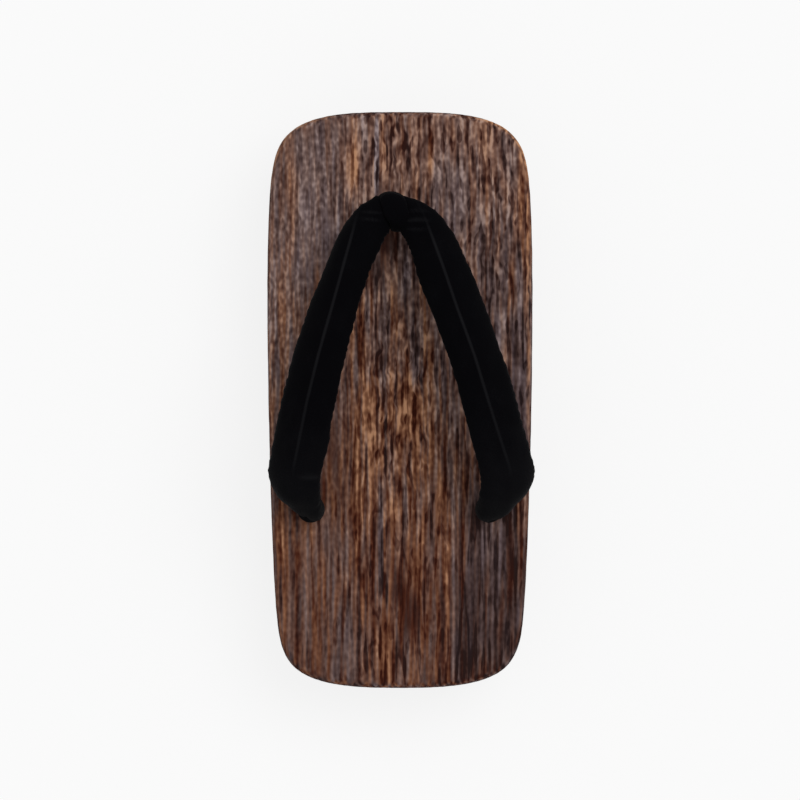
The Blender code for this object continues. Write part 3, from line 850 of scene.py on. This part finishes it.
def eased(values, low, high):
    """0 below low, 1 above high and a soft curve between them."""
    share = np.clip((values - low) / (high - low), 0, 1)
    return share * share * (3 - 2 * share)


def clouds(places, size, shift=0.0):
    """Soft noise from -1 to 1 at each place, its spots this large in metres."""
    moved = Vector((shift, shift, shift))
    return np.array([noise.noise(Vector(place) / size + moved) for place in places])


def rounded(obj, levels):
    """Rounds the piece off by subdivision."""
    rounder = obj.modifiers.new("rounder", "SUBSURF")
    rounder.levels = levels
    rounder.render_levels = levels
    finish_mesh(obj)


bm = merged_copy("strap")
along = bm.verts.layers.float.new("along")
around = bm.verts.layers.float_vector.new("around")
middle_of = bm.verts.layers.float_vector.new("middle")
left = sorted((v for v in bm.verts if v.co.x < 0), key=lambda v: v.co.z)
rings = tube_rings(left[:STRAP_SIDES])
ends = set(rings[0]), set(rings[-1])
caps = [f for f in bm.faces if any(set(f.verts) <= end for end in ends)]
bmesh.ops.delete(bm, geom=caps, context="FACES")
bmesh.ops.join_triangles(
    bm,
    faces=bm.faces,
    angle_face_threshold=math.radians(60),
    angle_shape_threshold=math.radians(90),
)
bmesh.ops.holes_fill(bm, edges=[e for e in bm.edges if e.is_boundary])
middles = [sum((v.co for v in ring), Vector()) / len(ring) for ring in rings]
widest = []
for ring, middle in zip(rings, middles):
    spots = np.array([v.co - middle for v in ring])
    way = Vector(np.linalg.svd(spots)[2][0])
    widest.append(way if not widest or way.dot(widest[-1]) > 0 else -way)
half = len(rings) // 4
if widest[half].cross(middles[half + 1] - middles[half]).z < 0:
    widest = [-way for way in widest]
run = 0.0
for number, (ring, middle, way) in enumerate(zip(rings, middles, widest)):
    before, after = middles[max(number - 1, 0)], middles[min(number + 1, len(middles) - 1)]
    up = way.cross(after - before).normalized()
    run += (middle - middles[max(number - 1, 0)]).length
    reach = max(abs((v.co - middle).dot(way)) for v in ring)
    for v in ring:
        off = v.co - middle
        v[along] = run
        v[around] = (off.dot(way) / reach, off.dot(up) / reach, off.dot(way))
        v[middle_of] = middle
strap = new_piece("velvet_strap", bm, "strap_velvet", "strap")
rounded(strap, STRAP_LEVELS)

mesh = strap.data
places = spread(mesh, "position", 3).astype(float)
normals = np.empty(places.size, np.float32)
mesh.vertex_normals.foreach_get("vector", normals)
normals = normals.reshape(-1, 3)
along, around, middle = spread(mesh, "along"), spread(mesh, "around", 3), spread(mesh, "middle", 3)
across, lift, off_middle = around.T
apex = along[np.hypot(*(middle[:, :2] - FRONT_HOLE).T).argmin()]
pinched = 1 - (1 - PINCH) * (1 - eased(abs(along - apex), *PINCH_REACH))
places = middle + (places - middle) * pinched[:, None]
beside = places[:, 0] - LOOP_X
for side, far, whole, gone in SHOULDERS:
    share = eased(side * beside, *SHOULDER_START) * (1 - eased(side * beside, whole, gone))
    places[:, 1] += far * share * np.clip(normals[:, 1], 0, 1)
for arm, faces, mid, reach, far in SWELLS:
    way = np.array((math.cos(math.radians(faces)), math.sin(math.radians(faces))))
    away = abs(places[:, 1] - mid * MM) / (reach * MM)
    share = (arm * beside > 0) * (1 - eased(away, 0.3, 1.0))
    share *= eased(places[:, 2] - TOP, 0, 4 * MM) * np.clip(normals[:, :2] @ way, 0, 1)
    places[:, :2] += far * MM * share[:, None] * way
crest_y, crest_left, crest_right = MM * np.array(CREST_LINE[::-1]).T
crests = (np.interp(places[:, 1], crest_y, xs) for xs in (crest_left, crest_right))
off_crest = np.where(lift > 0, places[:, 0] - np.where(beside < 0, *crests), 1)
out = UNEVEN * clouds(places, 12 * MM)
low_edge = eased(abs(across), 0.55, 0.95) * (1 - eased(lift, 0.05, 0.35))
ripples = np.sin(2 * math.pi * along / PUCKER_STEP + 6 * clouds(places, 11 * MM, 5.0))
depths = PUCKER_DEPTH * (1 + 1.2 * clouds(places, 15 * MM, 7.0))
out -= depths * low_edge * (1 + ripples)
under = (lift < 0) * np.clip(1 - (off_middle / SEAM_REACH) ** 2, 0, 1) ** 2
out -= SEAM_DEPTH * under
out += CREST_HEIGHT * np.exp(-(off_crest / CREST_HALF) ** 2)
near_hole = 1 - eased(places[:, 2] - TOP, 0, GATHER_RISE)
folds = np.cos(GATHERS * np.arctan2(lift, across) + 2.5 * clouds(places, 14 * MM, 9.0))
out -= GATHER_DEPTH * near_hole * (1 - folds) / 2
# Where the folds' ridges stand up, kept for painted sheen on them.
bend_folds = np.zeros(len(places))
for x, y, reach_x, reach_y, depth, step in MM * np.array(BEND_FOLDS):
    away = np.hypot((places[:, 0] - x) / reach_x, (places[:, 1] - y) / reach_y)
    away = (1 - eased(away, 0.2, 1.0)) * eased(normals[:, 2], 0.15, 0.65)
    waves = np.sin(2 * math.pi * places[:, 1] / step + 2 * clouds(places, 8 * MM, 2.0))
    out -= depth * away * (1 + waves) / 2
    bend_folds = np.maximum(bend_folds, away * np.clip(-waves, 0, 1))
places += normals * out[:, None]
for x in (-REAR_HOLE_OUT, REAR_HOLE_OUT):
    # The gathered end fills the hole, and bulges over its rim on the side facing the foot.
    off = places[:, :2] - (x, REAR_HOLE_Y)
    distance = np.linalg.norm(off, axis=1)
    above = places[:, 2] - TOP
    at_end = distance < 2 * HOLE_RADIUS
    facing = 0.6 - 0.8 * off[:, 0] / distance * np.sign(x) + 0.2 * off[:, 1] / distance
    collar = at_end * np.clip(facing, 0, 1) * eased(above, -0.4 * MM, 0.6 * MM)
    collar *= 1 - eased(above, 2 * MM, COLLAR_RISE)
    wanted = distance + (np.maximum(distance, COLLAR) - distance) * collar
    in_hole = at_end * (1 - eased(above, -0.5 * MM, 1.5 * MM))
    wanted += (HOLE_FILL - wanted) * in_hole
    places[:, :2] += off * (wanted / distance - 1)[:, None]
mesh.vertices.foreach_set("co", places.astype(np.float32).ravel())
for name, values in (("bend_folds", bend_folds), ("off_crest", off_crest)):
    mesh.attributes.new(name, "FLOAT", "POINT").data.foreach_set("value", values)
mesh.update()

# Black velvet. Its pile swallows light. It is painted paler along the crest, on the folds' ridges
# and toward the rear ends: painted sheen.
VELVET = (0.0013, 0.0012, 0.0017, 1)
PALE_PILE_AND_SHEEN_VELVET = (0.0085, 0.0085, 0.0095, 1)
# How much the crest's painted sheen shows between two Ys in millimetres: from so much to so much.
CREST_SHOWS = ((-36, -22, 0.0, 1.0), (-30, 30, 0.4, 0.7), (68, 84, 1.0, 0.1))
# How much paler the strap is painted toward its rear ends: painted sheen on their steep sides.
PAINTED_SHEEN_AT_HEEL = 0.24


def velvet_pile():
    """The pile's node group: where it lies another way, and its fine tufts."""
    tree = bpy.data.node_groups.new("velvet_pile", "ShaderNodeTree")
    add_sockets(tree, "INPUT", "Vector", "Place")
    add_sockets(tree, "OUTPUT", "Float", "Lay", "Tufts")
    place = tree.nodes.new("NodeGroupInput").outputs[0]
    lay = streaks(tree, place, (8, 11, 8), 3.0, 4.4)
    tufts = streaks(tree, place, (0.5, 0.5, 0.5), 2.0, 8.8)
    put(tree, "NodeGroupOutput", {"Lay": lay, "Tufts": tufts})
    return tree


pile_group = velvet_pile()


def finish_velvet(tree, shader, pile_and_sheen):
    """Velvet, from its dark self to its paler colour: where its pile lies another way, and painted
    sheen.
    """
    place = put(tree, "ShaderNodeTexCoord").outputs["Object"]
    pile = put(tree, "ShaderNodeGroup", {"Place": place}, node_tree=pile_group)
    pile_and_sheen = scaled(tree, pile.outputs["Lay"], 0.25, pile_and_sheen)
    pile_and_sheen = scaled(tree, pile.outputs["Tufts"], 0.35, pile_and_sheen)
    pile_and_sheen = put(tree, "ShaderNodeClamp", {"Value": pile_and_sheen}).outputs[0]
    colour = tinted(tree, pile_and_sheen, VELVET, PALE_PILE_AND_SHEEN_VELVET)
    finish(tree, shader, colour, 0.95, 0.02, pile.outputs["Tufts"], 0.6, 0.3 * MM)
    fill_inputs(tree, shader, {"Sheen Weight": 0.02, "Sheen Roughness": 0.35})


tree, shader = new_material("strap_velvet", strap)
spot = split(tree, put(tree, "ShaderNodeTexCoord").outputs["Object"])
off_crest = stored(tree, "off_crest")
# A painted highlight of sheen along the crest.
crest = ramp(tree, maths(tree, "ABSOLUTE", off_crest), 0.15 * MM, 1.0 * MM, 1.0, 0.0)
for low, high, to_low, to_high in CREST_SHOWS:
    crest = scaled(tree, crest, ramp(tree, spot["Y"], low * MM, high * MM, to_low, to_high))
# Painted sheen on the folds' ridges.
painted_fold_sheen = stored(tree, "bend_folds")
# Painted sheen toward the rear ends.
to_heel = ramp(tree, spot["Y"], -52 * MM, 10 * MM, PAINTED_SHEEN_AT_HEEL, 0.0)
pile_and_sheen = scaled(tree, painted_fold_sheen, 0.4, maths(tree, "ADD", to_heel, crest))
finish_velvet(tree, shader, pile_and_sheen)

# The toe loop: a velvet band, flat over the strap's middle and padded where it goes down on both
# sides. It is creased a little, and both its ends go down the one front hole.
LOOP_TURN = math.radians(13)
# The front half of its route, from the hole up, and its top: how far forward of the hole and
# above the board, in millimetres.
LOOP_ROUTE = (
    (2.5, -17.5), (2.5, -8), (2.9, 0), (4.3, 4), (6.0, 8), (7.2, 12), (7.6, 15.7), (6.4, 19.4)
)
LOOP_TOP = ((3.6, 21.3), (0, 22.1), (-3.6, 21.6))
LOOP_SIDES = 28
LOOP_STEPS = 4
# Half its width and half its thickness: over the strap, on its padded legs, and in the hole.
BAND_HALF = Vector((6.0, 1.5)) * MM
LEG_HALF = Vector((6.0, 2.1)) * MM
BAND_IN_HOLE = Vector((4.0, 1.9)) * MM
TOP_NARROWING = 0.6 * MM
HEEL_SIDE_NARROWING = 0.35
BAND_CREASE = 0.3 * MM
# Its sides lie back along the strap's arms, and its edge faces the toe squarely.
BAND_BEND = 12 * MM
BAND_SLANT = math.tan(math.radians(15))


def smooth_route(points, steps):
    """The points joined by an even curve, with this many steps from each to the next."""
    points = [np.array(point, float) for point in points]
    points = [2 * points[0] - points[1], *points, 2 * points[-1] - points[-2]]
    route = []
    for a, b, c, d in zip(points, points[1:], points[2:], points[3:]):
        for t in np.arange(steps) / steps:
            bend = (2 * a - 5 * b + 4 * c - d) * t ** 2 + (3 * b - 3 * c + d - a) * t ** 3
            route.append(Vector(b + ((c - a) * t + bend) / 2))
    return [*route, Vector(points[-2])]


def frames_along(route, sideways, closed=False):
    """A turned frame at each point of a route: Z runs along it, and X starts out sideways."""
    count = len(route)
    frames = []
    for number, point in enumerate(route):
        after = route[(number + 1) % count] if closed or number + 1 < count else point
        before = route[number - 1] if closed or number > 0 else point
        along = (after - before).normalized()
        sideways = (sideways - along * sideways.dot(along)).normalized()
        turned = Matrix((sideways, along.cross(sideways), along)).transposed()
        frames.append(Matrix.Translation(point) @ turned.to_4x4())
    return frames


def sweep(bm, section, frames, closed=False):
    """Carries a ring of points through these frames as one skin, its ends capped or joined."""
    start = bmesh.ops.create_circle(bm, segments=len(section), radius=1)["verts"]
    for v, (x, y) in zip(start, section):
        v.co = frames[0] @ Vector((x, y, 0))
    edges = first_edges = each_once(e for v in start for e in v.link_edges)
    for before, after in zip(frames, frames[1:]):
        edges, moved = drawn_out(bm, edges)
        bmesh.ops.transform(bm, matrix=after @ before.inverted(), verts=moved)
    if closed:
        bmesh.ops.bridge_loops(bm, edges=first_edges + edges)
    else:
        bmesh.ops.holes_fill(bm, edges=first_edges + edges)
    bmesh.ops.recalc_face_normals(bm, faces=bm.faces)


band = [(math.cos(t), math.sin(t)) for t in 2 * math.pi * np.arange(LOOP_SIDES) / LOOP_SIDES]
upright = Matrix.Translation((*FRONT_HOLE, TOP)) @ Matrix.Rotation(LOOP_TURN, 4, "Z")
corners = [*LOOP_ROUTE, *LOOP_TOP, *[(-fore, up) for fore, up in reversed(LOOP_ROUTE)]]
route = smooth_route([(0, fore * MM, up * MM) for fore, up in corners], LOOP_STEPS)
frames = []
for frame_here in frames_along(route, Vector((1, 0, 0))):
    fore, up = frame_here.translation.yz
    half = LEG_HALF.lerp(BAND_HALF, float(eased(up, 4 * MM, 18 * MM)))
    half = BAND_IN_HOLE.lerp(half, float(eased(up, -2 * MM, 4 * MM)))
    half.x -= TOP_NARROWING * eased(up, 12 * MM, 21 * MM)
    half.x *= 1 - HEEL_SIDE_NARROWING * eased(-fore, 0, 6 * MM) * eased(up, 4 * MM, 12 * MM)
    frames.append(upright @ frame_here @ Matrix.Diagonal((*half, 1, 1)))
bm = bmesh.new()
sweep(bm, band, frames)
for v in bm.verts:
    aside = (v.co - upright.translation).dot(upright.col[0].xyz)
    share = float(eased(v.co.z - TOP, 2 * MM, 10 * MM))
    v.co -= upright.col[1].xyz * share * (aside ** 2 / (2 * BAND_BEND) + aside * BAND_SLANT)
bm.normal_update()
spots = np.array([v.co for v in bm.verts])
creases = clouds(spots * (1, 1, 2.4), 5 * MM, 3.0) + 0.5 * clouds(spots, 2.2 * MM, 6.0)
for v, share in zip(bm.verts, creases):
    v.co += v.normal * BAND_CREASE * share
loop = new_piece("velvet_toe_loop", bm, "loop_velvet", "toe_loop")
rounded(loop, 1)
tree, shader = new_material("loop_velvet", loop)
finish_velvet(tree, shader, 0.0)

# The cords and knots under the board: three-strand black cotton cord. The toe loop's ends are
# knotted in their housing, and the strap's two cords are tied tight on the middle line.
CORD_RADIUS = 2.1 * MM
CORD_LAY = 13 * MM
CORD_SIDES = 24
STRAND = 0.464
CREVICE = 0.66
CORD_STEPS = 12
KNOT_HALF = Vector((6.2, 4.3, 2.0)) * MM
KNOT_STEPS = 160
KNOT_RADIUS = 2.2 * MM
KNOT_Z = TOP - THICK - 4.6 * MM
REAR_KNOT_Y = -44.7 * MM
YARN, LOOSE_FIBRES = (0.006, 0.006, 0.006, 1), (0.018, 0.018, 0.019, 1)
# A strap cord's route from its rear hole to the knot: out from the middle, Y and Z.
CORD_ROUTE = (
    (39.5, -48.2, 38.5),
    (39.5, -48.2, 30.5),
    (38.4, -48.2, 27.0),
    (34.0, -47.6, 25.0),
    (21.7, -45.9, 24.2),
    (7.8, -44.7, 23.6),
)


def strands(count):
    """The outline of a cord of three strands, around a circle of 1."""
    points = []
    for number in range(count):
        turn = 2 * math.pi * number / count
        off = (turn + math.pi / 3) % (2 * math.pi / 3) - math.pi / 3
        out = (1 - STRAND) * math.cos(off)
        out += math.sqrt(max(0.0, STRAND ** 2 - ((1 - STRAND) * math.sin(off)) ** 2))
        out = max(CREVICE, out)
        points.append((out * math.cos(turn), out * math.sin(turn)))
    return points


def laid_cord(route, radius, sideways, closed=False):
    """A bmesh of three-strand cord along a route, its strands winding round each other."""
    frames = []
    run = 0.0
    lengths = [(after - before).length for before, after in zip(route, route[1:])]
    lay = CORD_LAY
    if closed:
        whole = sum(lengths) + (route[0] - route[-1]).length
        lay = whole / max(1, round(3 * whole / CORD_LAY)) * 3
    for frame_here, length in zip(frames_along(route, sideways, closed), [*lengths, 0]):
        wound = Matrix.Rotation(2 * math.pi * run / lay, 4, "Z")
        frames.append(frame_here @ wound @ Matrix.Diagonal((radius, radius, 1, 1)))
        run += length
    bm = bmesh.new()
    sweep(bm, strands(CORD_SIDES), frames, closed)
    return bm


def knot_route(middle, turn):
    """A trefoil, as an overhand knot is pulled tight."""
    route = []
    for t in 2 * math.pi * np.arange(KNOT_STEPS) / KNOT_STEPS:
        x = (math.sin(t) + 2 * math.sin(2 * t)) / 2.75
        y = (math.cos(t) - 2 * math.cos(2 * t)) / 2.75
        spot = Vector((x, y, -math.sin(3 * t)))
        spot.rotate(Matrix.Rotation(turn, 3, "Z"))
        route.append(middle + spot * KNOT_HALF)
    return route


def finish_cord(obj):
    """Black cotton yarn: dull, with short loose fibres."""
    tree, shader = new_material(obj.name + "_cotton", obj)
    place = put(tree, "ShaderNodeTexCoord").outputs["Object"]
    fuzz = streaks(tree, place, (0.4, 0.4, 0.4), 3.0, 2.2)
    colour = tinted(tree, scaled(tree, fuzz, 1.6, 0.5), YARN, LOOSE_FIBRES)
    finish(tree, shader, colour, 0.85, 0.15, fuzz, 0.7, 0.3 * MM)


for name, spot, turn in (
    ("toe_knot", (*FRONT_HOLE, KNOT_Z), 0.3),
    ("rear_knot", (0, REAR_KNOT_Y, KNOT_Z), -0.2),
):
    bm = laid_cord(knot_route(Vector(spot), turn), KNOT_RADIUS, Vector((0, 0, 1)), closed=True)
    finish_cord(new_piece(name + "_tied", bm, "cord", name))
for name, side in (("strap_cord_left", -1), ("strap_cord_right", 1)):
    corners = [(side * out * MM, y * MM, z * MM) for out, y, z in CORD_ROUTE]
    bm = laid_cord(smooth_route(corners, CORD_STEPS), CORD_RADIUS, Vector((0, 1, 0)))
    finish_cord(new_piece(name + "_laid", bm, "cord", name))

# The studio: a pale floor under soft light, and a long lens straight above the sandal.
PHOTO_WIDTH = 353.55 * MM
LENS = 280
SENSOR = 36
FLOOR_HALF = 3
FLOOR_GREY, FLOOR_GLOW = (0.12, 0.12, 0.12, 1), 0.82
SKY_STRENGTH = 0.80
KEY_FROM = Vector((0.45, 0.40, 1))
bm = bmesh.new()
bmesh.ops.create_grid(bm, x_segments=1, y_segments=1, size=FLOOR_HALF)
floor = shaped("floor", bm)
tree, shader = new_material("floor_paper", floor)
looks = {
    "Base Color": FLOOR_GREY,
    "Roughness": 0.9,
    "Specular IOR Level": 0.0,
    "Emission Color": (1, 1, 1, 1),
    "Emission Strength": FLOOR_GLOW,
}
fill_inputs(tree, shader, looks)
floor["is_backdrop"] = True

world = bpy.data.worlds.new("studio")
world.use_nodes = True
sky = world.node_tree.nodes["Background"]
fill_inputs(world.node_tree, sky, {"Color": (1, 1, 1, 1), "Strength": SKY_STRENGTH})
bpy.context.scene.world = world

sun = bpy.data.lights.new("key", "SUN")
sun.energy = 1.3
sun.angle = math.radians(40)
key = placed("key", sun)
key.rotation_euler = KEY_FROM.to_track_quat("Z", "Y").to_euler()

camera_data = bpy.data.cameras.new("camera")
camera_data.lens = LENS
camera_data.sensor_width = SENSOR
camera_data.clip_end = 10
camera = placed("camera", camera_data)
camera.location = (0, 0, TOP + PHOTO_WIDTH * LENS / SENSOR)
bpy.context.scene.camera = camera
bpy.context.scene.view_settings.view_transform = "Standard"

low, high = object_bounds()
